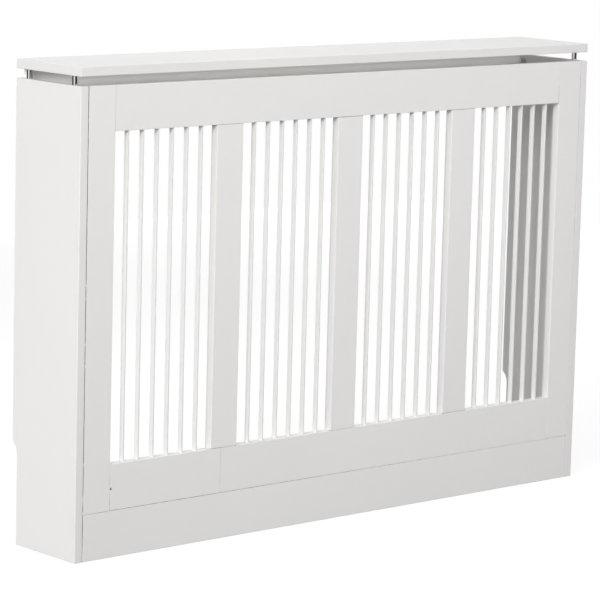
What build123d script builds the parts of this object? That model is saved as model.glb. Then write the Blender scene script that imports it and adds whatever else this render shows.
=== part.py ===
from build123d import *
from collections import namedtuple
import os

# Radiator cover cabinet: painted boards that stand over a radiator, against a wall. A glued grille, two side
# panels, a plinth and a rear rail are pulled together by cams. The top board stands clear of them on four
# chrome posts, so that warm air leaves through the slot under it, to the front and at both ends. The rear
# rail reaches up to the top board and closes the slot towards the wall.
#
# Lengths are in millimetres. X runs along the cabinet from left to right, Y from the grille to the wall
# and Z up. The origin is on the floor, under the middle of the cabinet.

# Cabinet
overall_length = 1120.0
overall_depth = 168.0
side_height = 750.0  # floor to the top edge of the side panels and the grille
side_thickness = 15.0
top_thickness = 15.0
edge_round = 1.0  # softened edges of the side panels, top board, plinth and rear rail

# Notch for the skirting board, at the foot of each side panel's back edge
notch_depth = 12.0
notch_height = 147.0  # straight part, under the arc
notch_radius = 25.0

# Grille
frame_thickness = 15.0
stile_width = 53.0
mid_stile_width = 54.0
top_rail_height = 72.0
bottom_rail_height = 75.0
bottom_rail_left_length = 226.5  # the bottom rail is two lengths of board, joined end to end
frame_round = 0.6
mid_stile_count = 3
slats_per_bay = 6
slat_width = 3.0
slat_depth = 9.0
slat_setback = 3.0  # from the front of the rails to the front edge of a slat
slat_seat = 8.0  # length of a slat's end inside its slot
slat_round = 0.5

# Plinth and rear rail
plinth_height = 76.0
plinth_thickness = 15.0
rear_rail_drop = 72.0  # from the side panels' top edges down to the rear rail's lower edge
rear_rail_thickness = 15.0

# Lines that stay open along the front edges of the joints: their widths and depths
side_line = 0.4  # against a side panel
plinth_line = 0.2  # between the plinth and the grille
glued_line = 0.2  # inside the grille, where the paint hasn't filled it
line_depth = 4.0
glued_line_depth = 2.0

# Posts between the side panels and the top board
post_radius = 5.0
post_length = 15.0  # height of the warm-air slot
post_inset = 25.0  # from the front and back faces to a post's axis
post_chamfer = 0.3
post_cam_drop = 13.0  # from a side panel's top edge to the cam's axis
post_bolt_radius = 3.0
insert_radius = 4.3
insert_length = 11.0

# Cams and their bolts
cam_radius = 7.45
cam_recess = 0.2  # a cam sits this far below the face that it is sunk in
cam_floor = 1.2  # between the bolt's head and the bottom of the cam
cam_reach = 24.0  # from a joint to the cam's axis
cam_chamfer = 0.4
cam_slot_length = 9.0
cam_slot_width = 1.6
cam_slot_depth = 2.0
bolt_thread_radius = 2.5
bolt_thread_length = 10.5  # the part that is screwed into the side panel
bolt_collar_radius = 3.7
bolt_collar_length = 1.2
bolt_shank_radius = 2.4
bolt_neck_radius = 1.9
bolt_neck_lead = 1.0  # the neck starts this far before the cam
bolt_head_radius = 3.4
bolt_head_length = 3.0
bolt_bore_radius = 4.0
bolt_chamfer = 0.4

# Dowels
dowel_radius = 3.0
dowel_length = 30.0
dowel_chamfer = 0.6
side_dowel_seat = 10.0  # length of a dowel's end inside a side panel
rail_dowel_spacing = 22.0
mid_stile_dowel_spacing = 30.0
rear_dowel_spacing = 48.0
plinth_fastener_spacing = 28.0  # from the plinth's dowel up to its cam

# Wall brackets and their screws
bracket_leg = 30.0
bracket_width = 16.0
bracket_thickness = 2.0
bracket_bend_radius = 1.0  # inside the bend
bracket_corner_radius = 3.0
bracket_drop = 1.0  # from the rear rail's lower edge down to a bracket
wall_hole_radius = 2.5
screw_radius = 1.6
screw_length = 11.0
screw_tip_length = 2.5
screw_head_radius = 3.4
screw_head_angle = 90.0
screw_slot_length = 3.6
screw_slot_width = 0.7
screw_slot_depth = 1.0
screw_margin = 6.0  # from a screw to its leg's free end, and to the bend

# Clearances
cam_clearance = 0.05  # radial
bolt_clearance = 0.1  # round a bolt's neck and head, inside its cam
thread_clearance = 0.05  # radial
dowel_clearance = 0.05  # radial
sleeve_clearance = 0.1  # radial, between a post and the bolt through it
insert_clearance = 0.05  # radial
screw_clearance = 0.05  # radial
slat_clearance = 0.05  # on each side of a slat, in its slot
end_clearance = 0.5  # past the end of a dowel, bolt, insert, screw or slat, in its bore or slot

# Faces and levels that the pieces share
half_length = overall_length / 2
front = -overall_depth / 2
back = overall_depth / 2
inner_half = half_length - side_thickness  # from the middle to a side panel's inner face
opening_half = inner_half - stile_width  # from the middle to a stile's inner edge
opening_bottom = plinth_height + bottom_rail_height
opening_top = side_height - top_rail_height
opening_middle = (opening_bottom + opening_top) / 2
bottom_rail_middle = plinth_height + bottom_rail_height / 2
top_rail_middle = side_height - top_rail_height / 2
top_underside = side_height + post_length
rear_rail_bottom = side_height - rear_rail_drop
rear_joint_middle = (rear_rail_bottom + side_height) / 2  # of the part that meets the side panels
frame_y = front + frame_thickness / 2
plinth_y = front + plinth_thickness / 2
rear_rail_y = back - rear_rail_thickness / 2
sides = ((-1, "left"), (1, "right"))

# Grille: bays between the stiles, slats in each bay
bay_width = (2 * opening_half - mid_stile_count * mid_stile_width) / (mid_stile_count + 1)
bay_starts = [-opening_half + bay * (bay_width + mid_stile_width) for bay in range(mid_stile_count + 1)]
mid_stile_places = [start - mid_stile_width / 2 for start in bay_starts[1:]]
slat_gap = (bay_width - slats_per_bay * slat_width) / (slats_per_bay + 1)
slat_pitch = slat_gap + slat_width
slat_places = [
    start + (slat + 1) * slat_pitch - slat_width / 2 for start in bay_starts for slat in range(slats_per_bay)
]
slat_y = front + slat_setback + slat_depth / 2
bottom_rail_seam = -opening_half + bottom_rail_left_length

# Posts and the cams under them
post_x = half_length - side_thickness / 2
post_ends = ((front + post_inset, "front"), (back - post_inset, "rear"))
post_places = [(side * post_x, y) for side, _ in sides for y, _ in post_ends]

# Brackets: levels, and how far along its leg each screw is
bracket_top = rear_rail_bottom - bracket_drop
bracket_middle = bracket_top - bracket_width / 2
bracket_bend = bracket_thickness + bracket_bend_radius
screw_ys = (back - bracket_leg + screw_margin, back - bracket_bend - screw_margin)
wall_hole_x = inner_half - (bracket_leg + bracket_bend) / 2

# Each member that ends on the side panels: the axis of its fasteners, the face that its cams are sunk in,
# its thickness, and the levels of its cams and dowels
Member = namedtuple("Member", "axis_y cam_face_y thickness cam_levels dowel_levels")
grille = Member(
    frame_y,
    front + frame_thickness,
    frame_thickness,
    (bottom_rail_middle, opening_middle, top_rail_middle),
    ((bottom_rail_middle + opening_middle) / 2, (opening_middle + top_rail_middle) / 2),
)
plinth = Member(
    plinth_y,
    front + plinth_thickness,
    plinth_thickness,
    ((plinth_height + plinth_fastener_spacing) / 2,),
    ((plinth_height - plinth_fastener_spacing) / 2,),
)
rear_rail = Member(
    rear_rail_y,
    back,
    rear_rail_thickness,
    (rear_joint_middle,),
    (rear_joint_middle - rear_dowel_spacing / 2, rear_joint_middle + rear_dowel_spacing / 2),
)
members = (grille, plinth, rear_rail)
member_dowel_seat = dowel_length - side_dowel_seat

os.makedirs("parts", exist_ok=True)


def save(shape, name):
    shape.label = name
    export_step(shape, f"parts/{name}.step")


def save_copies(shape, places, name):
    """Save one copy of a fastener at each place, as separate solids of one node."""
    with BuildPart() as copies:
        with Locations(*places):
            add(shape)
    save(copies.part, name)


def cam_depth(thickness):
    """Depth of a cam's bore in a board, with the bolt half way through the board."""
    return thickness / 2 + bolt_head_radius + bolt_clearance + cam_floor


def end_planes(side, axis_y, levels):
    """Planes on the joint between a member's end and a side panel, facing the side panel."""
    return [Plane(origin=(side * inner_half, axis_y, level), z_dir=(side, 0, 0)) for level in levels]


def cam_planes(side, member):
    """Planes on a member's face at its cams, with X towards the side panel."""
    x = side * (inner_half - cam_reach)
    return [
        Plane(origin=(x, member.cam_face_y, level), x_dir=(side, 0, 0), z_dir=(0, 1, 0))
        for level in member.cam_levels
    ]


def post_cam_planes(side):
    """Planes on a side panel's inner face at the cams under its posts, with X up."""
    level = side_height - post_cam_drop
    return [
        Plane(origin=(side * inner_half, y, level), x_dir=(0, 0, 1), z_dir=(-side, 0, 0))
        for y, _ in post_ends
    ]


def bracket_screw_planes(side, x):
    """Planes at a bracket's screws, facing the middle of the cabinet."""
    return [Plane(origin=(side * x, y, bracket_middle), z_dir=(-side, 0, 0)) for y in screw_ys]


def rail_dowel_planes(x, *middles):
    """Planes at the pairs of dowels that cross an upright joint, one pair at each rail's middle level."""
    levels = [middle + way * rail_dowel_spacing / 2 for middle in middles for way in (-1, 1)]
    return [Plane(origin=(x, frame_y, level), z_dir=(1, 0, 0)) for level in levels]


def mid_stile_dowel_planes(level):
    """Planes at the pair of dowels in the end of each middle stile."""
    xs = [x + way * mid_stile_dowel_spacing / 2 for x in mid_stile_places for way in (-1, 1)]
    return [Plane(origin=(x, frame_y, level)) for x in xs]


def bore(places, radius, depth):
    with Locations(*places):
        Hole(radius, depth)


def bore_dowels(places, depth=dowel_length / 2):
    bore(places, dowel_radius + dowel_clearance, depth + end_clearance)


def bore_member_end(side, member):
    """Bore a member for its cams, their bolts and its dowels, at the end that meets a side panel."""
    bore(cam_planes(side, member), cam_radius + cam_clearance, cam_depth(member.thickness))
    bore(end_planes(side, member.axis_y, member.cam_levels), bolt_bore_radius, cam_reach)
    bore_dowels(end_planes(side, member.axis_y, member.dowel_levels), member_dowel_seat)


def open_line(x, z, width, height, depth):
    """Take a strip off the front edge of a board, centred on the joint, so that the joint shows as a line."""
    with Locations((x, front, z)):
        Box(width, 2 * depth, height, mode=Mode.SUBTRACT)


def slot_for_slats(level):
    """Cut the slots that hold the slats' ends in a rail, from its edge at the level."""
    with Locations(*[(x, slat_y, level) for x in slat_places]):
        Box(
            slat_width + 2 * slat_clearance,
            slat_depth + 2 * slat_clearance,
            2 * slat_seat,
            mode=Mode.SUBTRACT,
        )


# Side panels: the skirting board passes through the notch at the back
for side, side_name in sides:
    with BuildPart() as side_panel:
        with BuildSketch(Plane.YZ.offset(side * post_x)):
            with BuildLine():
                notch_face = back - notch_depth
                arc_rise = (notch_radius**2 - (notch_radius - notch_depth) ** 2) ** 0.5
                arc_start = (notch_face, notch_height)
                arc_end = (back, notch_height + arc_rise)
                TangentArc(arc_start, arc_end, tangent=(0, 1))
                Polyline(
                    arc_end,
                    (back, side_height),
                    (front, side_height),
                    (front, 0),
                    (notch_face, 0),
                    arc_start,
                )
            make_face()
        extrude(amount=side_thickness / 2, both=True)
        fillet(side_panel.edges(), edge_round)
        for member in members:
            thread_places = end_planes(side, member.axis_y, member.cam_levels)
            bore(thread_places, bolt_thread_radius + thread_clearance, bolt_thread_length + end_clearance)
            bore_dowels(end_planes(side, member.axis_y, member.dowel_levels), side_dowel_seat)
        bore(post_cam_planes(side), cam_radius + cam_clearance, cam_depth(side_thickness))
        bore([(side * post_x, y, side_height) for y, _ in post_ends], bolt_bore_radius, post_cam_drop)
        screw_seat = screw_length - bracket_thickness + end_clearance
        bore(bracket_screw_planes(side, inner_half), screw_radius + screw_clearance, screw_seat)
    save(side_panel.part, f"side_panel_{side_name}")

# Top board, bored from below for the inserts that the posts are screwed to
with BuildPart() as top_board:
    with Locations((0, 0, top_underside + top_thickness / 2)):
        Box(overall_length, overall_depth, top_thickness)
    fillet(top_board.edges(), edge_round)
    insert_places = [Plane(origin=(x, y, top_underside), z_dir=(0, 0, -1)) for x, y in post_places]
    bore(insert_places, insert_radius + insert_clearance, insert_length + end_clearance)
save(top_board.part, "top_board")

# Plinth, under the grille and flush with it
with BuildPart() as plinth_board:
    with Locations((0, plinth_y, plinth_height / 2)):
        Box(2 * inner_half, plinth_thickness, plinth_height)
    fillet(plinth_board.edges(), edge_round)
    open_line(0, plinth_height, 2 * inner_half, 2 * plinth_line, line_depth)
    for side, _ in sides:
        open_line(side * inner_half, plinth_height / 2, 2 * side_line, plinth_height, line_depth)
        bore_member_end(side, plinth)
save(plinth_board.part, "plinth_board")

# Rear rail, between the side panels at the top of the back, up to the top board
with BuildPart() as rear_top_rail:
    with Locations((0, rear_rail_y, (rear_rail_bottom + top_underside) / 2)):
        Box(2 * inner_half, rear_rail_thickness, top_underside - rear_rail_bottom)
    fillet(rear_top_rail.edges(), edge_round)
    for side, _ in sides:
        bore_member_end(side, rear_rail)
save(rear_top_rail.part, "rear_top_rail")

# Stiles at the two ends of the grille
stile_middle = (plinth_height + side_height) / 2
stile_length = side_height - plinth_height
for side, side_name in sides:
    with BuildPart() as front_stile:
        with Locations((side * (opening_half + stile_width / 2), frame_y, stile_middle)):
            Box(stile_width, frame_thickness, stile_length)
        fillet(front_stile.edges(), frame_round)
        open_line(side * inner_half, stile_middle, 2 * side_line, stile_length, line_depth)
        bore_member_end(side, grille)
        bore_dowels(rail_dowel_planes(side * opening_half, bottom_rail_middle, top_rail_middle))
    save(front_stile.part, f"front_stile_{side_name}")

# Top rail of the grille
with BuildPart() as top_rail:
    with Locations((0, frame_y, top_rail_middle)):
        Box(2 * opening_half, frame_thickness, top_rail_height)
    fillet(top_rail.edges(), frame_round)
    for side, _ in sides:
        bore_dowels(rail_dowel_planes(side * opening_half, top_rail_middle))
    bore_dowels(mid_stile_dowel_planes(opening_top))
    slot_for_slats(opening_top)
save(top_rail.part, "top_rail")

# Bottom rail of the grille, in two lengths
for start, end, side_name in (
    (-opening_half, bottom_rail_seam, "left"),
    (bottom_rail_seam, opening_half, "right"),
):
    with BuildPart() as bottom_rail:
        with Locations(((start + end) / 2, frame_y, bottom_rail_middle)):
            Box(end - start, frame_thickness, bottom_rail_height)
        fillet(bottom_rail.edges(), frame_round)
        open_line(start, bottom_rail_middle, 2 * glued_line, bottom_rail_height, glued_line_depth)
        for x in (start, end):
            bore_dowels(rail_dowel_planes(x, bottom_rail_middle))
        bore_dowels(mid_stile_dowel_planes(opening_bottom))
        slot_for_slats(opening_bottom)
    save(bottom_rail.part, f"bottom_rail_{side_name}")

# Middle stiles, between the rails
for number, x in enumerate(mid_stile_places, 1):
    with BuildPart() as mid_stile:
        with Locations((x, frame_y, opening_middle)):
            Box(mid_stile_width, frame_thickness, opening_top - opening_bottom)
        fillet(mid_stile.edges(), frame_round)
        for level in (opening_bottom, opening_top):
            open_line(x, level, mid_stile_width, 2 * glued_line, glued_line_depth)
        bore_dowels(mid_stile_dowel_planes(opening_bottom) + mid_stile_dowel_planes(opening_top))
    save(mid_stile.part, f"mid_stile_{number}")

# Slats: each stands on the floor of its slot in the bottom rail
for number, x in enumerate(slat_places, 1):
    with BuildPart() as slat:
        with BuildSketch(Plane.XY.offset(opening_bottom - slat_seat)):
            with Locations((x, slat_y)):
                Rectangle(slat_width, slat_depth)
        extrude(amount=opening_top - opening_bottom + 2 * slat_seat - end_clearance)
        fillet(slat.edges().filter_by(Axis.Z), slat_round)
    save(slat.part, f"slat_{number:02d}")

# Posts: chrome sleeves, clamped between a side panel and the top board by the bolts through them
for side, side_name in sides:
    for y, end_name in post_ends:
        with BuildPart() as post:
            with BuildSketch(Plane.XY.offset(side_height)):
                with Locations((side * post_x, y)):
                    Circle(post_radius)
            extrude(amount=post_length)
            chamfer(post.edges(), post_chamfer)
            bore([(side * post_x, y, side_height)], post_bolt_radius + sleeve_clearance, post_length)
        save(post.part, f"post_{end_name}_{side_name}")

# Threaded inserts, sunk in the top board
with BuildPart() as insert:
    with BuildSketch(Plane.XY):
        Circle(insert_radius)
    extrude(amount=insert_length)
    chamfer(insert.edges().sort_by(Axis.Z)[-1], bolt_chamfer)
    bore([(0, 0, 0)], post_bolt_radius + thread_clearance, insert_length)
save_copies(insert.part, [(x, y, top_underside) for x, y in post_places], "top_board_inserts")


def turned(top, *steps):
    """A turned pin on the Z axis, from its top level down: each step is a radius and its lower level."""
    with BuildPart() as pin:
        for radius, bottom in steps:
            with Locations((0, 0, bottom)):
                Cylinder(radius, top - bottom, align=(Align.CENTER, Align.CENTER, Align.MIN))
            top = bottom
        ends = pin.edges().sort_by(Axis.Z)
        chamfer([ends[0], ends[-1]], bolt_chamfer)
    return pin.part


def bolt_tip(reach):
    """Steps of the end of a bolt that a cam holds, with the joint at level 0 and the cam's axis below it."""
    return (
        (bolt_neck_radius, -(reach - bolt_head_length / 2)),
        (bolt_head_radius, -(reach + bolt_head_length / 2)),
    )


# Post bolts: from the inserts, through the posts, down into the cams of the side panels
post_bolt = turned(
    post_length + insert_length,
    (post_bolt_radius, -(post_cam_drop - cam_radius - bolt_neck_lead)),
    *bolt_tip(post_cam_drop),
)
save_copies(post_bolt, [(x, y, side_height) for x, y in post_places], "post_bolts")

# Cam bolts: screwed into the side panels, with their heads in the cams of the members
cam_bolt = turned(
    bolt_thread_length,
    (bolt_thread_radius, 0),
    (bolt_collar_radius, -bolt_collar_length),
    (bolt_shank_radius, -(cam_reach - cam_radius - bolt_neck_lead)),
    *bolt_tip(cam_reach),
)


def cam(thickness):
    """A cam for a board: its axis is Z, the board's face is at level 0, and its bolt comes along X."""
    depth = cam_depth(thickness)
    axis = Plane(origin=(0, 0, -thickness / 2), z_dir=(1, 0, 0))
    neck_slot = bolt_neck_radius + bolt_clearance
    with BuildPart() as body:
        with Locations((0, 0, -depth)):
            Cylinder(cam_radius, depth - cam_recess, align=(Align.CENTER, Align.CENTER, Align.MIN))
        chamfer(body.edges().sort_by(Axis.Z)[-1], cam_chamfer)
        with Locations(axis):
            Cylinder(neck_slot, cam_radius, align=(Align.CENTER, Align.CENTER, Align.MIN), mode=Mode.SUBTRACT)
        with Locations(axis.offset(bolt_head_length / 2)):
            Cylinder(
                bolt_head_radius + bolt_clearance,
                2 * cam_radius,
                align=(Align.CENTER, Align.CENTER, Align.MAX),
                mode=Mode.SUBTRACT,
            )
        with Locations((0, 0, -thickness / 2)):
            Box(
                2 * cam_radius,
                cam_radius,
                2 * neck_slot,
                align=(Align.CENTER, Align.MIN, Align.CENTER),
                mode=Mode.SUBTRACT,
            )
        with Locations((0, 0, -cam_recess)):
            for length, width in ((cam_slot_length, cam_slot_width), (cam_slot_width, cam_slot_length)):
                Box(
                    length,
                    width,
                    cam_slot_depth,
                    align=(Align.CENTER, Align.CENTER, Align.MAX),
                    mode=Mode.SUBTRACT,
                )
    return body.part


for member, name in ((grille, "frame"), (plinth, "plinth"), (rear_rail, "rear_rail")):
    places = [plane for side, _ in sides for plane in cam_planes(side, member)]
    save_copies(cam(member.thickness), places, f"{name}_cams")
    places = [plane for side, _ in sides for plane in end_planes(side, member.axis_y, member.cam_levels)]
    save_copies(cam_bolt, places, f"{name}_cam_bolts")
save_copies(cam(side_thickness), [plane for side, _ in sides for plane in post_cam_planes(side)], "post_cams")

# Dowels: glued inside the grille, dry between the members and the side panels
with BuildPart() as dowel:
    Cylinder(dowel_radius, dowel_length)
    chamfer(dowel.edges().filter_by(GeomType.CIRCLE), dowel_chamfer)
panel_dowel_places = [
    plane.offset((side_dowel_seat - member_dowel_seat) / 2)
    for side, _ in sides
    for member in members
    for plane in end_planes(side, member.axis_y, member.dowel_levels)
]
save_copies(dowel.part, panel_dowel_places, "panel_dowels")
frame_dowel_places = (
    rail_dowel_planes(-opening_half, bottom_rail_middle, top_rail_middle)
    + rail_dowel_planes(opening_half, bottom_rail_middle, top_rail_middle)
    + rail_dowel_planes(bottom_rail_seam, bottom_rail_middle)
    + mid_stile_dowel_planes(opening_bottom)
    + mid_stile_dowel_planes(opening_top)
)
save_copies(dowel.part, frame_dowel_places, "frame_dowels")

# Wall brackets: one leg on a side panel's inner face, the other on the wall
for side, side_name in sides:
    corner_x = side * inner_half
    inside_x = side * (inner_half - bracket_thickness)
    end_x = side * (inner_half - bracket_leg)
    with BuildPart() as bracket:
        with BuildSketch(Plane.XY.offset(bracket_top - bracket_width)):
            with BuildLine():
                Polyline(
                    (corner_x, back),
                    (end_x, back),
                    (end_x, back - bracket_thickness),
                    (inside_x, back - bracket_thickness),
                    (inside_x, back - bracket_leg),
                    (corner_x, back - bracket_leg),
                    close=True,
                )
            make_face()
        extrude(amount=bracket_width)
        outer_corner = (corner_x, back, bracket_middle)
        inner_corner = (inside_x, back - bracket_thickness, bracket_middle)
        for corner, radius in ((outer_corner, bracket_bend), (inner_corner, bracket_bend_radius)):
            fillet(bracket.edges().filter_by(Axis.Z).sort_by_distance(corner)[0], radius)
        panel_leg_end = bracket.edges().filter_by(Axis.X).group_by(Axis.Y)[0]
        wall_leg_end = bracket.edges().filter_by(Axis.Y).group_by(Axis.X)[-1 if side < 0 else 0]
        fillet(panel_leg_end + wall_leg_end, bracket_corner_radius)
        with Locations(*bracket_screw_planes(side, inner_half - bracket_thickness)):
            CounterSinkHole(
                screw_radius + screw_clearance,
                screw_head_radius + screw_clearance,
                depth=2 * bracket_thickness,
                counter_sink_angle=screw_head_angle,
            )
        wall_hole = Plane(origin=(side * wall_hole_x, back, bracket_middle), z_dir=(0, 1, 0))
        bore([wall_hole], wall_hole_radius, 2 * bracket_thickness)
    save(bracket.part, f"wall_bracket_{side_name}")

# Bracket screws, countersunk in the brackets and driven into the side panels
with BuildPart() as bracket_screw:
    head_length = screw_head_radius - screw_radius
    with BuildSketch(Plane.XZ):
        with BuildLine():
            Polyline(
                (0, 0),
                (screw_head_radius, 0),
                (screw_radius, -head_length),
                (screw_radius, screw_tip_length - screw_length),
                (0, -screw_length),
                close=True,
            )
        make_face()
    revolve(axis=Axis.Z)
    for length, width in ((screw_slot_length, screw_slot_width), (screw_slot_width, screw_slot_length)):
        Box(
            length,
            width,
            screw_slot_depth,
            align=(Align.CENTER, Align.CENTER, Align.MAX),
            mode=Mode.SUBTRACT,
        )
screw_places = [
    plane for side, _ in sides for plane in bracket_screw_planes(side, inner_half - bracket_thickness)
]
save_copies(bracket_screw.part, screw_places, "bracket_screws")
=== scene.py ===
import math

import bmesh
import bpy
from mathutils import Matrix, Vector


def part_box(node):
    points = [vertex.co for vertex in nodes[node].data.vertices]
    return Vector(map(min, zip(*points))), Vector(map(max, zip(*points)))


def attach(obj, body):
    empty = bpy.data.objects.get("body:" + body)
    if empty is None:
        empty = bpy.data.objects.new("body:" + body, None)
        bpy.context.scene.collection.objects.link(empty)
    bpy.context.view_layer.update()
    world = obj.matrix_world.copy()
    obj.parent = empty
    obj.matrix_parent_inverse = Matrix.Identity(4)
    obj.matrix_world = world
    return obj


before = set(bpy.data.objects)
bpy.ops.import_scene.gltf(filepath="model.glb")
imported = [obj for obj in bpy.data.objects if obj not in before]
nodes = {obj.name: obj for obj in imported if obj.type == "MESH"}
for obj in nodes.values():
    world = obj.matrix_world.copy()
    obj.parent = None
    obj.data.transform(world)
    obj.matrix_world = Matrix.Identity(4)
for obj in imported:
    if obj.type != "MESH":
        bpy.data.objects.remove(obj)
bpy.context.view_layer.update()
bpy.ops.object.select_all(action="DESELECT")


# ---------------------------------------------------------------------------------------------------------
# Grille frame. Two end stiles, three middle stiles, a top rail and a bottom rail in two lengths, all 15 mm
# fibreboard. They are dowelled and glued into one panel, then filled, sanded and sprayed satin white.

white_paint = (0.820, 0.812, 0.796, 1.0)
thin_paint = (0.765, 0.754, 0.728, 1.0)  # over a sharp edge, where the spray draws thin
satin = 0.40  # roughness
paint_relief = 0.00004

along_x = (1.0, 0.0, 0.0)
along_y = (0.0, 1.0, 0.0)
along_z = (0.0, 0.0, 1.0)
front = -0.084
side_joint = 0.545  # from the middle of the cabinet to the side panels' inner faces
rail_joint = 0.492  # from the middle to the rails' ends
butt_joint = -0.2655  # where the bottom rail's two lengths meet
plinth_joint = 0.076
low_rail_top = 0.151
top_rail_bottom = 0.678


def new_group(name, inputs, outputs):
    """An empty shader node group with these sockets, each a name, a kind and, for an input, a value."""
    group = bpy.data.node_groups.new(name, "ShaderNodeTree")
    for socket_name, kind, value in inputs:
        socket = group.interface.new_socket(socket_name, in_out="INPUT", socket_type="NodeSocket" + kind)
        socket.default_value = value
    for socket_name, kind in outputs:
        group.interface.new_socket(socket_name, in_out="OUTPUT", socket_type="NodeSocket" + kind)
    return group


def add_node(tree, kind, settings=None, **sockets):
    """A node with its settings, and its input sockets set to values or linked to other sockets."""
    node = tree.nodes.new("ShaderNode" + kind)
    for key, value in (settings or {}).items():
        setattr(node, key, value)
    for key, value in sockets.items():
        name = key.replace("_", " ")
        socket = node.inputs[int(key[1:])] if key[1:].isdigit() else node.inputs[name]
        if isinstance(value, bpy.types.NodeSocket):
            tree.links.new(value, socket)
        else:
            socket.default_value = value
    return node


def maths(tree, operation, *values, clamp=False):
    """The result of a Math node."""
    sockets = {f"i{index}": value for index, value in enumerate(values)}
    return add_node(tree, "Math", {"operation": operation, "use_clamp": clamp}, **sockets).outputs[0]


def vector_maths(tree, operation, *values, result="Vector"):
    """The result of a Vector Math node."""
    sockets = {f"i{index}": value for index, value in enumerate(values)}
    return add_node(tree, "VectorMath", {"operation": operation}, **sockets).outputs[result]


def remap(tree, value, low, high, to_low=0.0, to_high=1.0, smooth=False):
    """A value taken from one range to another, and held at the ends."""
    settings = {"interpolation_type": "SMOOTHSTEP" if smooth else "LINEAR"}
    sockets = {"Value": value, "From_Min": low, "From_Max": high, "To_Min": to_low, "To_Max": to_high}
    return add_node(tree, "MapRange", settings, **sockets).outputs["Result"]


def noise(tree, place, scale, detail=2.0, roughness=0.5):
    """A noise between 0 and 1, with its scale in features a metre."""
    sockets = {"Vector": place, "Scale": scale, "Detail": detail, "Roughness": roughness}
    return add_node(tree, "TexNoise", {"noise_dimensions": "3D"}, **sockets).outputs["Fac"]


def mix_colour(tree, share, first, second, blend="MIX"):
    """Two colours mixed by a share."""
    mix = tree.nodes.new("ShaderNodeMix")
    mix.data_type = "RGBA"
    mix.blend_type = blend
    for socket, value in ((mix.inputs[0], share), (mix.inputs[6], first), (mix.inputs[7], second)):
        if isinstance(value, bpy.types.NodeSocket):
            tree.links.new(value, socket)
        else:
            socket.default_value = value
    return mix.outputs[2]


# Sprayed paint: faint clouds from the spray's overlaps, orange peel, thin paint over the softened edges, and
# a drier, rougher coat on the board's cut edges, which drink more paint than its faces.
sprayed_paint = new_group(
    "sprayed paint",
    [
        ("Paint", "Color", white_paint),
        ("Thin paint", "Color", thin_paint),
        ("Face axis", "Vector", along_y),
        ("Shift", "Vector", (0.0, 0.0, 0.0)),
        ("Satin", "Float", satin),
    ],
    [("Color", "Color"), ("Roughness", "Float"), ("Height", "Float")],
)
tree = sprayed_paint
given = tree.nodes.new("NodeGroupInput").outputs
place = add_node(tree, "TexCoord").outputs["Object"]
spot = vector_maths(tree, "ADD", place, given["Shift"])
normal = add_node(tree, "NewGeometry").outputs["Normal"]
along = maths(tree, "ABSOLUTE", vector_maths(tree, "DOT_PRODUCT", normal, given["Face axis"], result="Value"))
cut_edge = remap(tree, along, 0.75, 0.25, smooth=True)
sides_of_normal = add_node(tree, "SeparateXYZ", Vector=vector_maths(tree, "ABSOLUTE", normal)).outputs
largest = maths(tree, "MAXIMUM", sides_of_normal[1], sides_of_normal[2])
largest = maths(tree, "MAXIMUM", sides_of_normal[0], largest)
arris = remap(tree, largest, 0.985, 0.80, smooth=True)
clouds = noise(tree, spot, 2.6, 3.0, 0.55)
mottle = noise(tree, spot, 55.0, 3.0, 0.6)
peel = noise(tree, spot, 380.0, 2.0, 0.45)
fibres = noise(tree, spot, 1500.0, 3.0, 0.7)
shade = maths(
    tree, "ADD", remap(tree, clouds, 0.3, 0.7, 0.982, 1.006), remap(tree, mottle, 0.3, 0.7, -0.004, 0.004)
)
drunk_in = maths(tree, "MULTIPLY", cut_edge, remap(tree, fibres, 0.35, 0.7, 0.02, 0.05))
shade = maths(tree, "SUBTRACT", shade, drunk_in)
worn_thin = maths(tree, "MULTIPLY", arris, remap(tree, mottle, 0.35, 0.65, 0.25, 0.9))
film = mix_colour(tree, worn_thin, given["Paint"], given["Thin paint"])
lit = add_node(tree, "VectorMath", {"operation": "SCALE"}, i0=film, Scale=shade).outputs["Vector"]
rough = maths(tree, "ADD", given["Satin"], remap(tree, mottle, 0.25, 0.75, -0.035, 0.035))
rough = maths(tree, "ADD", rough, maths(tree, "MULTIPLY", cut_edge, 0.07))
rough = maths(tree, "ADD", rough, maths(tree, "MULTIPLY", remap(tree, clouds, 0.35, 0.65), 0.03))
height = maths(
    tree, "ADD", maths(tree, "MULTIPLY", peel, 0.7),
    maths(tree, "MULTIPLY", fibres, remap(tree, cut_edge, 0.0, 1.0, 0.06, 0.45)),
)
put = tree.nodes.new("NodeGroupOutput").inputs
tree.links.new(lit, put["Color"])
tree.links.new(rough, put["Roughness"])
tree.links.new(height, put["Height"])


def new_material(name, group, **sockets):
    """A material with a Principled shader and a node group whose sockets are set to the values."""
    material = bpy.data.materials.new(name)
    material.use_nodes = True
    material.node_tree.nodes.clear()
    finish = add_node(material.node_tree, "Group", {"node_tree": group}, **sockets)
    shader = add_node(material.node_tree, "BsdfPrincipled")
    surface = add_node(material.node_tree, "OutputMaterial")
    material.node_tree.links.new(shader.outputs["BSDF"], surface.inputs["Surface"])
    return material, finish, shader


def link_finish(material, finish, shader, relief, colour=None):
    """Join a finish's colour, roughness and height to the shader, with the relief's depth in metres."""
    tree = material.node_tree
    tree.links.new(colour or finish.outputs["Color"], shader.inputs["Base Color"])
    tree.links.new(finish.outputs["Roughness"], shader.inputs["Roughness"])
    bump = add_node(tree, "Bump", Strength=1.0, Distance=relief, Height=finish.outputs["Height"])
    tree.links.new(bump.outputs["Normal"], shader.inputs["Normal"])


def dress(material, *names):
    """Give CAD nodes a material in place of the plain one of their slot."""
    for name in names:
        nodes[name].material_slots[0].material = material


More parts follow.
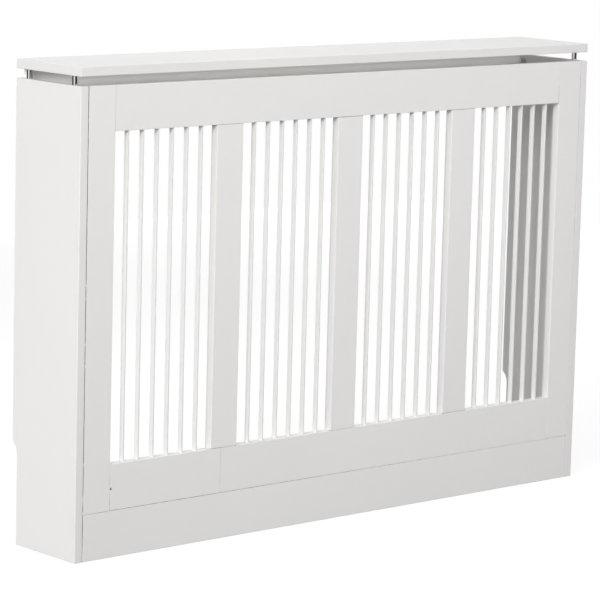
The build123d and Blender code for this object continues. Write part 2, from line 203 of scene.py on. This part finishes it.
# Two flaws in the filling show through the paint. The pinhole where the left stile meets the bottom rail is
# only a dark spot of painted shade, for the shadow in a hole that has no shape here, and a faint darker
# grey streak is painted on the joint between the bottom rail's two lengths.
flaw = new_group(
    "flaw in the filling",
    [("Centre", "Vector", (0.0, 0.0, 0.0)), ("Size", "Vector", (0.001, 0.001, 0.001))],
    [("Mask", "Float")],
)
tree = flaw
given = tree.nodes.new("NodeGroupInput").outputs
place = add_node(tree, "TexCoord").outputs["Object"]
offset = vector_maths(tree, "SUBTRACT", place, given["Centre"])
spread = vector_maths(tree, "LENGTH", vector_maths(tree, "DIVIDE", offset, given["Size"]), result="Value")
ragged = maths(tree, "ADD", spread, remap(tree, noise(tree, place, 900.0, 2.0), 0.3, 0.7, -0.15, 0.15))
tree.links.new(remap(tree, ragged, 1.0, 0.55, smooth=True), tree.nodes.new("NodeGroupOutput").inputs["Mask"])

# The boards meet in fine open lines, where the paint stops short of the joint and leaves bare board.
# The lines' dark colour is that bare board darkened further with painted shade, which stands in for the
# shadow inside the narrow gap. They are only as deep as the open part of the joint, on the front.
# bare board, darkened further as painted shade of a narrow gap
bare_board_in_painted_shade = (0.11, 0.10, 0.09, 1.0)
open_from = -0.0798  # places along Y where the dark line sets in
open_full = -0.0804
open_joint = new_group(
    "open joint",
    [("Across", "Vector", along_x), ("Level", "Float", 0.0), ("Half width", "Float", 0.0002)],
    [("Mask", "Float")],
)
tree = open_joint
given = tree.nodes.new("NodeGroupInput").outputs
place = add_node(tree, "TexCoord").outputs["Object"]
level = vector_maths(tree, "DOT_PRODUCT", place, given["Across"], result="Value")
off_joint = maths(tree, "ABSOLUTE", maths(tree, "SUBTRACT", level, given["Level"]))
wander = remap(tree, noise(tree, place, 90.0, 3.0), 0.3, 0.7, 0.7, 1.3)
past_line = maths(tree, "SUBTRACT", off_joint, maths(tree, "MULTIPLY", given["Half width"], wander))
near_front = remap(tree, add_node(tree, "SeparateXYZ", Vector=place).outputs[1], open_from, open_full)
tree.links.new(
    maths(tree, "MULTIPLY", near_front, remap(tree, past_line, 0.0, 0.00006, 1.0, 0.0)),
    tree.nodes.new("NodeGroupOutput").inputs["Mask"],
)


def board_paint(name, face_axis, shift, paint=white_paint, roughness=satin, joints=(), flaws=()):
    """Paint on a board whose faces look along an axis. The shift gives each board clouds of its own.

    A joint is the direction across it, its level, the direction along it, and two places along it with the
    line's half width at each. A flaw is its centre, its half sizes, its strength and its colour.
    """
    material, finish, shader = new_material(
        name, sprayed_paint, Paint=paint, Thin_paint=thin_paint, Face_axis=face_axis, Shift=shift,
        Satin=roughness,
    )
    tree = material.node_tree
    colour = finish.outputs["Color"]
    place = add_node(tree, "TexCoord").outputs["Object"]
    for across, level, along, first, last, first_width, last_width in joints:
        run = vector_maths(tree, "DOT_PRODUCT", place, along, result="Value")
        width = remap(tree, run, first, last, first_width, last_width)
        line = {"Across": across, "Level": level, "Half_width": width}
        mask = add_node(tree, "Group", {"node_tree": open_joint}, **line).outputs["Mask"]
        # paint the joint's line: bare board with painted shade over it
        colour = mix_colour(tree, mask, colour, bare_board_in_painted_shade)
    for centre, size, strength, tint in flaws:
        mask = add_node(tree, "Group", {"node_tree": flaw}, Centre=centre, Size=size).outputs["Mask"]
        colour = mix_colour(tree, maths(tree, "MULTIPLY", mask, strength), colour, tint)
    link_finish(material, finish, shader, paint_relief, colour)
    return material


streak_grey = (0.45, 0.43, 0.40, 1.0)
# a dark spot of painted shade that stands for a pinhole
painted_shade_pinhole = ((-0.4902, front, 0.1112), (0.0024, 0.004, 0.0027), 0.95, bare_board_in_painted_shade)
# a faint grey streak along the joint between the bottom rail's two lengths
streak = ((butt_joint, front, 0.098), (0.0012, 0.004, 0.011), 0.22, streak_grey)
stile_paint = board_paint(
    "stile_satin_white", along_y, (3.1, 0.4, 1.7),
    joints=[
        (along_x, -side_joint, along_z, 0.02, 0.55, 0.00040, 0.00056),
        (along_x, side_joint, along_z, 0.08, 0.75, 0.00042, 0.00080),
        (along_z, plinth_joint, along_x, -0.5, 0.5, 0.00010, 0.00036),
    ],
    flaws=[painted_shade_pinhole],
)
dress(stile_paint, "front_stile_left", "front_stile_right")
top_rail_paint = board_paint(
    "top_rail_satin_white", along_y, (0.9, 5.2, 2.3),
    joints=[
        (along_x, -rail_joint, along_z, 0.740, 0.685, 0.00008, 0.00018),
        (along_x, rail_joint, along_z, 0.740, 0.685, 0.00001, 0.00090),
    ],
)
dress(top_rail_paint, "top_rail")
bottom_rail_paint = board_paint(
    "bottom_rail_satin_white", along_y, (6.4, 0.3, 1.2),
    joints=[
        (along_x, -rail_joint, along_z, 0.08, 0.14, 0.00024, 0.00011),
        (along_x, butt_joint, along_z, 0.08, 0.14, 0.00016, 0.00012),
        (along_z, plinth_joint, along_x, -0.33, 0.49, 0.00041, 0.00010),
    ],
    flaws=[painted_shade_pinhole, streak],
)
dress(bottom_rail_paint, "bottom_rail_left", "bottom_rail_right")
outer_mid_stile_paint = board_paint(
    "outer_mid_stile_satin_white", along_y, (2.6, 3.4, 7.1),
    joints=[
        (along_z, top_rail_bottom, along_x, -0.28, 0.28, 0.00032, 0.00028),
        (along_z, low_rail_top, along_x, -0.28, 0.28, 0.00052, 0.00060),
    ],
)
dress(outer_mid_stile_paint, "mid_stile_1", "mid_stile_3")
middle_stile_paint = board_paint(
    "middle_stile_satin_white", along_y, (4.9, 7.7, 0.8),
    joints=[
        (along_z, top_rail_bottom, along_x, -0.027, 0.010, 0.00065, 0.00045),
        (along_z, low_rail_top, along_x, -0.027, 0.027, 0.00042, 0.00045),
    ],
)
dress(middle_stile_paint, "mid_stile_2")


# ---------------------------------------------------------------------------------------------------------
# Slats. Thin upright strips of the same painted board, 3 mm by 9 mm, six to a bay. Their ends are glued into
# slots in the rails before the grille is sprayed.

# The slats are sprayed with the grille but get a slightly darker, cooler white than it: painted shade.
slat_white_painted_shade = (0.806, 0.804, 0.798, 1.0)
slat_paint = board_paint("slat_satin_white", along_x, (0.7, 2.9, 0.2), paint=slat_white_painted_shade)
slat_names = [f"slat_{number:02d}" for number in range(1, 25)]
dress(slat_paint, *slat_names)


def pick(kind, test):
    """In edit mode, select the vertices, edges or faces of the open mesh whose corners pass a test."""
    mesh = bpy.context.object.data
    bpy.ops.mesh.select_mode(type=kind)
    bpy.ops.mesh.select_all(action="DESELECT")
    edited = bmesh.from_edit_mesh(mesh)
    for part in {"VERT": edited.verts, "EDGE": edited.edges, "FACE": edited.faces}[kind]:
        corners = [part.co] if kind == "VERT" else [vertex.co for vertex in part.verts]
        part.select_set(test(corners))
    edited.select_flush_mode()
    bmesh.update_edit_mesh(mesh)


def rise(corners):
    """How far an edge or a face reaches in height."""
    heights = [corner.z for corner in corners]
    return max(heights) - min(heights)


def place_copies(pattern, name, places):
    """Put a copy of the pattern, with its own mesh, at each place, and take the pattern away."""
    for number, place in enumerate(places, 1):
        copy = pattern.copy()
        copy.data = pattern.data.copy()
        copy.data.transform(place)
        copy.name = f"{name}_{number:02d}"
        bpy.context.scene.collection.objects.link(copy)
        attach(copy, "root")
    bpy.data.objects.remove(pattern)


# Where a slat enters a rail, the paint has gathered in the corner as a small bead all round it.
slat_thickness = 0.003
slat_depth = 0.009
bead_width = 0.0004
bead_height = 0.0004
bead_rim = 0.15  # of its height, left at its outer edge
bead_corner = 0.0008
bead_overlap = 0.00005  # into the slat, so that no gap shows

bpy.ops.mesh.primitive_cube_add(size=1.0, location=(0.0, 0.0, 0.0))
bead = bpy.context.object
bpy.ops.object.mode_set(mode="EDIT")
bpy.ops.mesh.select_all(action="SELECT")
bpy.ops.transform.resize(
    value=(slat_thickness + 2 * bead_width, slat_depth + 2 * bead_width, bead_height),
    center_override=(0.0, 0.0, 0.0),
)
bpy.ops.transform.translate(value=(0.0, 0.0, bead_height / 2))
pick("EDGE", lambda corners: rise(corners) > bead_height / 2)
bpy.ops.mesh.bevel(offset=bead_corner, segments=4, affect="EDGES")
pick("FACE", lambda corners: rise(corners) < bead_height / 2)
bpy.ops.mesh.inset(thickness=bead_width + bead_overlap, use_individual=True)
bpy.ops.mesh.delete(type="FACE")
bpy.ops.mesh.select_mode(type="EDGE")
bpy.ops.mesh.select_all(action="DESELECT")
bpy.ops.mesh.select_non_manifold()
bpy.ops.mesh.bridge_edge_loops()
pick(
    "VERT",
    lambda corners: corners[0].z > bead_height / 2
    and (abs(corners[0].x) > slat_thickness / 2 or abs(corners[0].y) > slat_depth / 2),
)
bpy.ops.transform.translate(value=(0.0, 0.0, (bead_rim - 1.0) * bead_height))
bpy.ops.mesh.select_all(action="SELECT")
bpy.ops.mesh.normals_make_consistent(inside=False)
bpy.ops.object.mode_set(mode="OBJECT")
bpy.ops.object.shade_smooth_by_angle(angle=math.radians(50.0))
bead.data.materials.append(slat_paint)

upside_down = Matrix.Rotation(math.pi, 4, "X")
bead_places = []
for name in slat_names:
    low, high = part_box(name)
    middle_x = (low[0] + high[0]) / 2
    middle_y = (low[1] + high[1]) / 2
    bead_places.append(Matrix.Translation((middle_x, middle_y, low_rail_top)))
    bead_places.append(Matrix.Translation((middle_x, middle_y, top_rail_bottom)) @ upside_down)
place_copies(bead, "slat_paint_bead", bead_places)


# ---------------------------------------------------------------------------------------------------------
# Dowels. Fluted beech pins, 6 mm thick: those inside the grille are glued, and those in the side panels only
# line the boards up while the cams are turned.

upright_reach = 0.0153  # up and down from a mid-stile's end, over the upright dowels in it
across_grain = 1.0
along_grain = 0.08  # the figure is drawn out along the grain
beech = new_group(
    "beech",
    [("Grain", "Color", (1.0, 1.0, 1.0, 1.0)), ("Upright grain", "Color", (1.0, 1.0, 1.0, 1.0))],
    [("Color", "Color"), ("Roughness", "Float"), ("Height", "Float")],
)
tree = beech
given = tree.nodes.new("NodeGroupInput").outputs
place = add_node(tree, "TexCoord").outputs["Object"]
height_of_place = add_node(tree, "SeparateXYZ", Vector=place).outputs[2]
in_low_rail = maths(tree, "COMPARE", height_of_place, low_rail_top, upright_reach)
in_top_rail = maths(tree, "COMPARE", height_of_place, top_rail_bottom, upright_reach)
upright = maths(tree, "MAXIMUM", in_low_rail, in_top_rail)
grain = mix_colour(tree, upright, given["Grain"], given["Upright grain"])
drawn_out = vector_maths(tree, "MULTIPLY", place, grain)
figure = noise(tree, drawn_out, 260.0, 4.0, 0.6)
flecks = noise(tree, drawn_out, 1400.0, 2.0, 0.5)
wood = mix_colour(tree, remap(tree, figure, 0.3, 0.7), (0.62, 0.43, 0.26, 1.0), (0.74, 0.57, 0.39, 1.0))
wood = mix_colour(tree, remap(tree, flecks, 0.58, 0.72, 0.0, 0.5), wood, (0.40, 0.25, 0.14, 1.0))
put = tree.nodes.new("NodeGroupOutput").inputs
tree.links.new(wood, put["Color"])
tree.links.new(remap(tree, figure, 0.2, 0.8, 0.58, 0.74), put["Roughness"])
tree.links.new(maths(tree, "ADD", figure, flecks), put["Height"])

dowel_beech, finish, shader = new_material(
    "dowel_beech", beech, Grain=(along_grain, across_grain, across_grain, 1.0),
    Upright_grain=(across_grain, across_grain, along_grain, 1.0),
)
link_finish(dowel_beech, finish, shader, relief=0.00008)
dress(dowel_beech, "panel_dowels", "frame_dowels")


# ---------------------------------------------------------------------------------------------------------
# Side panels. 15 mm fibreboard, notched at the foot for the skirting board, sprayed on both faces and all
# edges. The grille, plinth and rear rail are drawn up to their inner faces.

dress(board_paint("left_side_satin_white", along_x, (0.0, 0.0, 0.0)), "side_panel_left")
dress(board_paint("right_side_satin_white", along_x, (5.3, 1.1, 0.6)), "side_panel_right")


# ---------------------------------------------------------------------------------------------------------
# Plinth and rear rail. Plain boards between the side panels: the plinth stands under the grille, flush with
# it, and the rear rail ties the panels at the top of the back.

plinth_paint = board_paint(
    "plinth_satin_white", along_y, (1.9, 6.2, 3.3),
    joints=[
        (along_z, plinth_joint, along_x, -0.33, 0.5, 0.00029, 0.00012),
        (along_x, -side_joint, along_z, 0.0, 0.07, 0.00036, 0.00052),
        (along_x, side_joint, along_z, 0.0, 0.07, 0.00045, 0.00048),
    ],
)
dress(plinth_paint, "plinth_board")
# The rear rail, seen in the slot under the top board, gets a lighter, warmer white than the other boards:
# painted light.
rail_white_painted_light = (0.910, 0.890, 0.868, 1.0)
rear_rail_paint = board_paint("rear_rail_satin_white", along_y, (4.4, 2.7, 8.1), paint=rail_white_painted_light)
dress(rear_rail_paint, "rear_top_rail")


# ---------------------------------------------------------------------------------------------------------
# Cams and bolts. Zinc die-cast cams drop into blind holes in the boards' hidden faces and pull on the heads
# of zinc-plated bolts that are screwed into the side panels. Each cam has an arrow cast in its face.

metal_skin = new_group(
    "metal skin",
    [
        ("Metal", "Color", (0.6, 0.6, 0.6, 1.0)),
        ("Dull metal", "Color", (0.5, 0.5, 0.5, 1.0)),
        ("Roughness", "Float", 0.3),
        ("Roughness change", "Float", 0.1),
        ("Blotches", "Float", 300.0),
        ("Lines", "Float", 3000.0),
        ("Lines depth", "Float", 0.3),
    ],
    [("Color", "Color"), ("Roughness", "Float"), ("Height", "Float")],
)
tree = metal_skin
given = tree.nodes.new("NodeGroupInput").outputs
place = add_node(tree, "TexCoord").outputs["Object"]
blotches = noise(tree, place, given["Blotches"], 3.0, 0.6)
grit = noise(tree, place, 2600.0, 2.0, 0.6)
turned = {"wave_type": "BANDS", "bands_direction": "Z"}
lines = add_node(tree, "TexWave", turned, Vector=place, Scale=given["Lines"], Distortion=1.5, Detail=2.0)
lines_height = maths(tree, "MULTIPLY", lines.outputs["Fac"], given["Lines depth"])
tone = remap(tree, blotches, 0.3, 0.7)
change = maths(tree, "MULTIPLY", maths(tree, "SUBTRACT", tone, 0.5), given["Roughness change"])
put = tree.nodes.new("NodeGroupOutput").inputs
tree.links.new(mix_colour(tree, tone, given["Metal"], given["Dull metal"]), put["Color"])
tree.links.new(maths(tree, "ADD", given["Roughness"], change), put["Roughness"])
tree.links.new(maths(tree, "ADD", maths(tree, "MULTIPLY", grit, 0.5), lines_height), put["Height"])


def metal(name, colour, dull, roughness, change, blotches, lines, lines_depth, relief):
    """A bare or plated metal, blotchy and, when it was turned, with fine lines round it."""
    material, finish, shader = new_material(
        name, metal_skin, Metal=colour, Dull_metal=dull, Roughness=roughness, Roughness_change=change,
        Blotches=blotches, Lines=lines, Lines_depth=lines_depth,
    )
    shader.inputs["Metallic"].default_value = 1.0
    link_finish(material, finish, shader, relief)
    return material


cast_zinc = metal(
    "cam_cast_zinc", (0.56, 0.56, 0.57, 1.0), (0.42, 0.42, 0.43, 1.0), roughness=0.42, change=0.16,
    blotches=420.0, lines=900.0, lines_depth=0.0, relief=0.00005,
)
dress(cast_zinc, "frame_cams", "plinth_cams", "rear_rail_cams", "post_cams")

# The mark cast in a cam's face: a thin raised ring, and an arrow outside it that points at the bolt.
ring_radius = 0.0051
ring_width = 0.00035
arrow_radius = 0.0011
arrow_squeeze = 0.85
arrow_offset = 0.0059  # from the cam's axis
mark_height = 0.00019
mark_softening = 0.00005
mark_sunk = 0.00004  # into the cam's face, so that no gap shows

bpy.ops.mesh.primitive_circle_add(vertices=64, radius=ring_radius, fill_type="NGON", location=(0.0, 0.0, 0.0))
mark = bpy.context.object
bpy.ops.object.mode_set(mode="EDIT")
bpy.ops.mesh.select_mode(type="FACE")
bpy.ops.mesh.select_all(action="SELECT")
bpy.ops.mesh.inset(thickness=ring_width)
bpy.ops.mesh.delete(type="FACE")
bpy.ops.mesh.select_all(action="DESELECT")
bpy.ops.mesh.primitive_circle_add(vertices=3, radius=arrow_radius, fill_type="NGON", location=(0.0, 0.0, 0.0))
bpy.ops.transform.rotate(value=math.pi / 2, orient_axis="Z", center_override=(0.0, 0.0, 0.0))
bpy.ops.transform.resize(value=(arrow_squeeze, 1.0, 1.0), center_override=(0.0, 0.0, 0.0))
bpy.ops.transform.translate(value=(arrow_offset, 0.0, 0.0))
bpy.ops.object.mode_set(mode="OBJECT")
raised = mark.modifiers.new("raised", "SOLIDIFY")
raised.thickness = mark_height
raised.offset = 1.0
softened = mark.modifiers.new("softened", "BEVEL")
softened.width = mark_softening
softened.segments = 2
bpy.ops.object.modifier_apply(modifier="raised")
bpy.ops.object.modifier_apply(modifier="softened")
bpy.ops.object.mode_set(mode="EDIT")
bpy.ops.mesh.select_all(action="SELECT")
bpy.ops.transform.translate(value=(0.0, 0.0, -mark_sunk))
bpy.ops.mesh.normals_make_consistent(inside=False)
bpy.ops.object.mode_set(mode="OBJECT")
rubbed_zinc = metal(
    "cam_mark_rubbed_zinc", (0.78, 0.78, 0.79, 1.0), (0.62, 0.62, 0.63, 1.0), roughness=0.30, change=0.10,
    blotches=900.0, lines=900.0, lines_depth=0.0, relief=0.00003,
)
mark.data.materials.append(rubbed_zinc)


def facing(place, normal, towards):
    """The place of a mark on a face that looks along the normal, with its arrow towards a direction."""
    normal = Vector(normal)
    towards = Vector(towards)
    turn = Matrix((towards, normal.cross(towards), normal)).transposed().to_4x4()
    return Matrix.Translation(place) @ turn


cam_x = 0.521
grille_cam_levels = (0.1135, 0.4145, 0.714)
plinth_cam_level = 0.052
rear_rail_cam_level = 0.714
post_cam_level = 0.737
post_cam_y = 0.059
front_cam_face = -0.0692  # the faces of the sunk cams in the grille and the plinth
rear_cam_face = 0.0838
side_cam_face = 0.5452
mark_places = []
for side in (-1.0, 1.0):
    outwards = (side, 0.0, 0.0)
    inwards = (-side, 0.0, 0.0)
    for level in (*grille_cam_levels, plinth_cam_level):
        mark_places.append(facing((side * cam_x, front_cam_face, level), along_y, outwards))
    mark_places.append(facing((side * cam_x, rear_cam_face, rear_rail_cam_level), along_y, outwards))
    for end in (-1.0, 1.0):
        axis = (side * side_cam_face, end * post_cam_y, post_cam_level)
        mark_places.append(facing(axis, inwards, along_z))
place_copies(mark, "cam_mark", mark_places)

zinc_plate = metal(
    "bolt_zinc_plate", (0.66, 0.67, 0.68, 1.0), (0.55, 0.56, 0.56, 1.0), roughness=0.27, change=0.12,
    blotches=700.0, lines=1600.0, lines_depth=0.3, relief=0.00002,
)
dress(zinc_plate, "frame_cam_bolts", "plinth_cam_bolts", "rear_rail_cam_bolts")
dress(zinc_plate, "post_bolts", "top_board_inserts")


# ---------------------------------------------------------------------------------------------------------
# Posts. Four short sleeves of polished, chrome-plated steel, 10 mm thick and 15 mm high. They are slipped over
# the bolts and hold the top board clear of the side panels.

chrome = metal(
    "post_chrome_plate", (0.80, 0.81, 0.82, 1.0), (0.76, 0.77, 0.78, 1.0), roughness=0.07, change=0.05,
    blotches=160.0, lines=5000.0, lines_depth=0.25, relief=0.000004,
)
dress(chrome, "post_front_left", "post_front_right", "post_rear_left", "post_rear_right")


# ---------------------------------------------------------------------------------------------------------
# Top board. The shelf: 15 mm fibreboard, flush with the cabinet all round and sprayed all over. It is bored
# from below for the threaded inserts that take the posts' bolts.

dress(board_paint("top_satin_white", along_z, (7.7, 3.8, 0.9), roughness=0.38), "top_board")


# ---------------------------------------------------------------------------------------------------------
# Wall brackets. Bent from 2 mm steel strip and powder-coated white, each held to a side panel's inner face
# by two countersunk screws, with one hole for a screw into the wall.

powder_white = (0.79, 0.79, 0.78, 1.0)
powder_coat = board_paint("bracket_powder_white", along_z, (2.2, 9.1, 4.6), powder_white, roughness=0.33)
dress(powder_coat, "wall_bracket_left", "wall_bracket_right")
dress(zinc_plate, "bracket_screws")


# ---------------------------------------------------------------------------------------------------------
# Floor. A plain pale sheet that keeps the cabinet's shadow. Its own glow, which only the camera and mirrored
# rays see, makes up what the lamps lack of an even white.

white = (1.0, 1.0, 1.0, 1.0)
black = (0.0, 0.0, 0.0, 1.0)
floor_half = 3.0
floor_colour = (0.22, 0.22, 0.22, 1.0)
near_reach = 0.8  # from the middle of the cabinet
near_glow = 0.80  # of the floor's white within that reach, where the lamps add the rest and the shadow shows
far_reach = 2.8
far_glow = 0.86  # towards the floor's edges, which the lamps light less
pool = (1.6, 2.8, 0.0)  # the middle of the back lamp's pool of light
pool_reach = 2.1
pool_light = 0.32  # that the lamp adds there, and that the floor's own glow leaves out

bpy.ops.mesh.primitive_plane_add(size=2 * floor_half, location=(0.0, 0.0, 0.0))
floor = bpy.context.object
floor.name = "floor"
floor_material = bpy.data.materials.new("floor_white")
floor_material.use_nodes = True
tree = floor_material.node_tree
tree.nodes.clear()
matt = add_node(tree, "BsdfDiffuse", Color=floor_colour)
place = add_node(tree, "TexCoord").outputs["Object"]
from_middle = vector_maths(tree, "LENGTH", place, result="Value")
from_pool = vector_maths(tree, "DISTANCE", place, pool, result="Value")
own_light = maths(
    tree, "SUBTRACT", remap(tree, from_middle, near_reach, far_reach, near_glow, far_glow),
    remap(tree, from_pool, 0.0, pool_reach, pool_light, 0.0),
)
glow = add_node(tree, "Emission", Color=white, Strength=own_light)
rays = add_node(tree, "LightPath").outputs
seen = maths(tree, "MAXIMUM", rays["Is Camera Ray"], rays["Is Glossy Ray"])
seen = maths(tree, "MAXIMUM", seen, rays["Is Transmission Ray"])
no_glow = add_node(tree, "Emission", Color=black, Strength=0.0)
glow_seen = add_node(tree, "MixShader", i0=seen, i1=no_glow.outputs[0], i2=glow.outputs[0])
both = add_node(tree, "AddShader", i0=matt.outputs[0], i1=glow_seen.outputs[0])
add_node(tree, "OutputMaterial", Surface=both.outputs[0])
floor.data.materials.append(floor_material)


# ---------------------------------------------------------------------------------------------------------
# Light. Soft lamps to the left, overhead and behind, a long low one in front that lights the rear rail
# through the slot, and even light from all round. The chrome mirrors a bright room with two dark sides.

scene = bpy.context.scene
scene.view_settings.view_transform = "Standard"


def soft_lamp(name, at, aim, width, height, watts, mirrored=True):
    """An area lamp that faces a point and isn't itself seen."""
    data = bpy.data.lights.new(name, "AREA")
    data.shape = "RECTANGLE"
    data.size = width
    data.size_y = height
    data.energy = watts
    lamp = bpy.data.objects.new(name, data)
    lamp.location = at
    lamp.rotation_euler = (Vector(aim) - Vector(at)).to_track_quat("-Z", "Y").to_euler()
    lamp.visible_camera = False
    lamp.visible_glossy = mirrored
    scene.collection.objects.link(lamp)


soft_lamp("key_lamp", (-8.7, -4.1, 3.9), (-0.1, 0.0, 0.5), 3.6, 3.6, 733.0)
soft_lamp("left_lamp", (-4.0, -0.5, 1.8), (-0.5, 0.0, 0.5), 2.5, 2.5, 24.0)
soft_lamp("front_strip_lamp", (0.2, -2.2, 1.0), (0.05, 0.0, 0.74), 2.4, 0.24, 17.0)
soft_lamp("top_lamp", (0.0, -0.3, 2.6), (0.0, 0.0, 0.5), 2.0, 2.0, 13.6)
soft_lamp("back_lamp", (2.2, 3.6, 1.6), (0.0, 0.0, 0.5), 2.0, 2.0, 108.0, mirrored=False)
ambient = 0.296
bright_room = 0.86
dark_sides = 0.03
dark_front = (-0.025, -1.0, 0.0)  # the two dark sides' directions
dark_rear = (-0.623, 0.782, 0.0)
band_inner = 0.85  # how squarely a mirrored direction meets a dark side where it is darkest
band_outer = 0.60

world = bpy.data.worlds.new("studio")
scene.world = world
world.use_nodes = True
tree = world.node_tree
tree.nodes.clear()
towards = add_node(tree, "TexCoord").outputs["Generated"]
before_front = vector_maths(tree, "DOT_PRODUCT", towards, dark_front, result="Value")
before_rear = vector_maths(tree, "DOT_PRODUCT", towards, dark_rear, result="Value")
nearer = maths(tree, "MAXIMUM", before_front, before_rear)
bands = remap(tree, nearer, band_outer, band_inner, bright_room, dark_sides, smooth=True)
rays = add_node(tree, "LightPath").outputs
mirrored = add_node(tree, "Background", Color=white, Strength=bands)
all_round = add_node(tree, "Background", Color=white, Strength=ambient)
backdrop = add_node(tree, "Background", Color=white, Strength=1.0)
light = add_node(tree, "MixShader", i0=rays["Is Glossy Ray"], i1=all_round.outputs[0], i2=mirrored.outputs[0])
seen = maths(tree, "MAXIMUM", rays["Is Camera Ray"], rays["Is Transmission Ray"])
light = add_node(tree, "MixShader", i0=seen, i1=light.outputs[0], i2=backdrop.outputs[0])
add_node(tree, "OutputWorld", Surface=light.outputs[0])


# ---------------------------------------------------------------------------------------------------------
# Camera. It stands to the left of the front and a little above the cabinet, with a long lens, and is turned
# slightly about its line of sight.

azimuth = math.radians(41.441)
pitch = math.radians(9.208)
roll = math.radians(1.493)
distance = 5.186
aim = Vector((-0.0274, 0.001, 0.3611))

ahead = Vector((math.sin(azimuth) * math.cos(pitch), math.cos(azimuth) * math.cos(pitch), -math.sin(pitch)))
level = Vector((math.cos(azimuth), -math.sin(azimuth), 0.0))
above = level.cross(ahead)
camera_right = math.cos(roll) * level + math.sin(roll) * above
camera_up = math.cos(roll) * above - math.sin(roll) * level
camera_data = bpy.data.cameras.new("camera")
camera_data.lens = 184.9
camera_data.sensor_width = 36.0
camera_data.clip_end = 100.0
camera = bpy.data.objects.new("camera", camera_data)
camera_turn = Matrix((camera_right, camera_up, -ahead)).transposed()
camera.matrix_world = Matrix.LocRotScale(aim - distance * ahead, camera_turn.to_quaternion(), None)
scene.collection.objects.link(camera)
scene.camera = camera
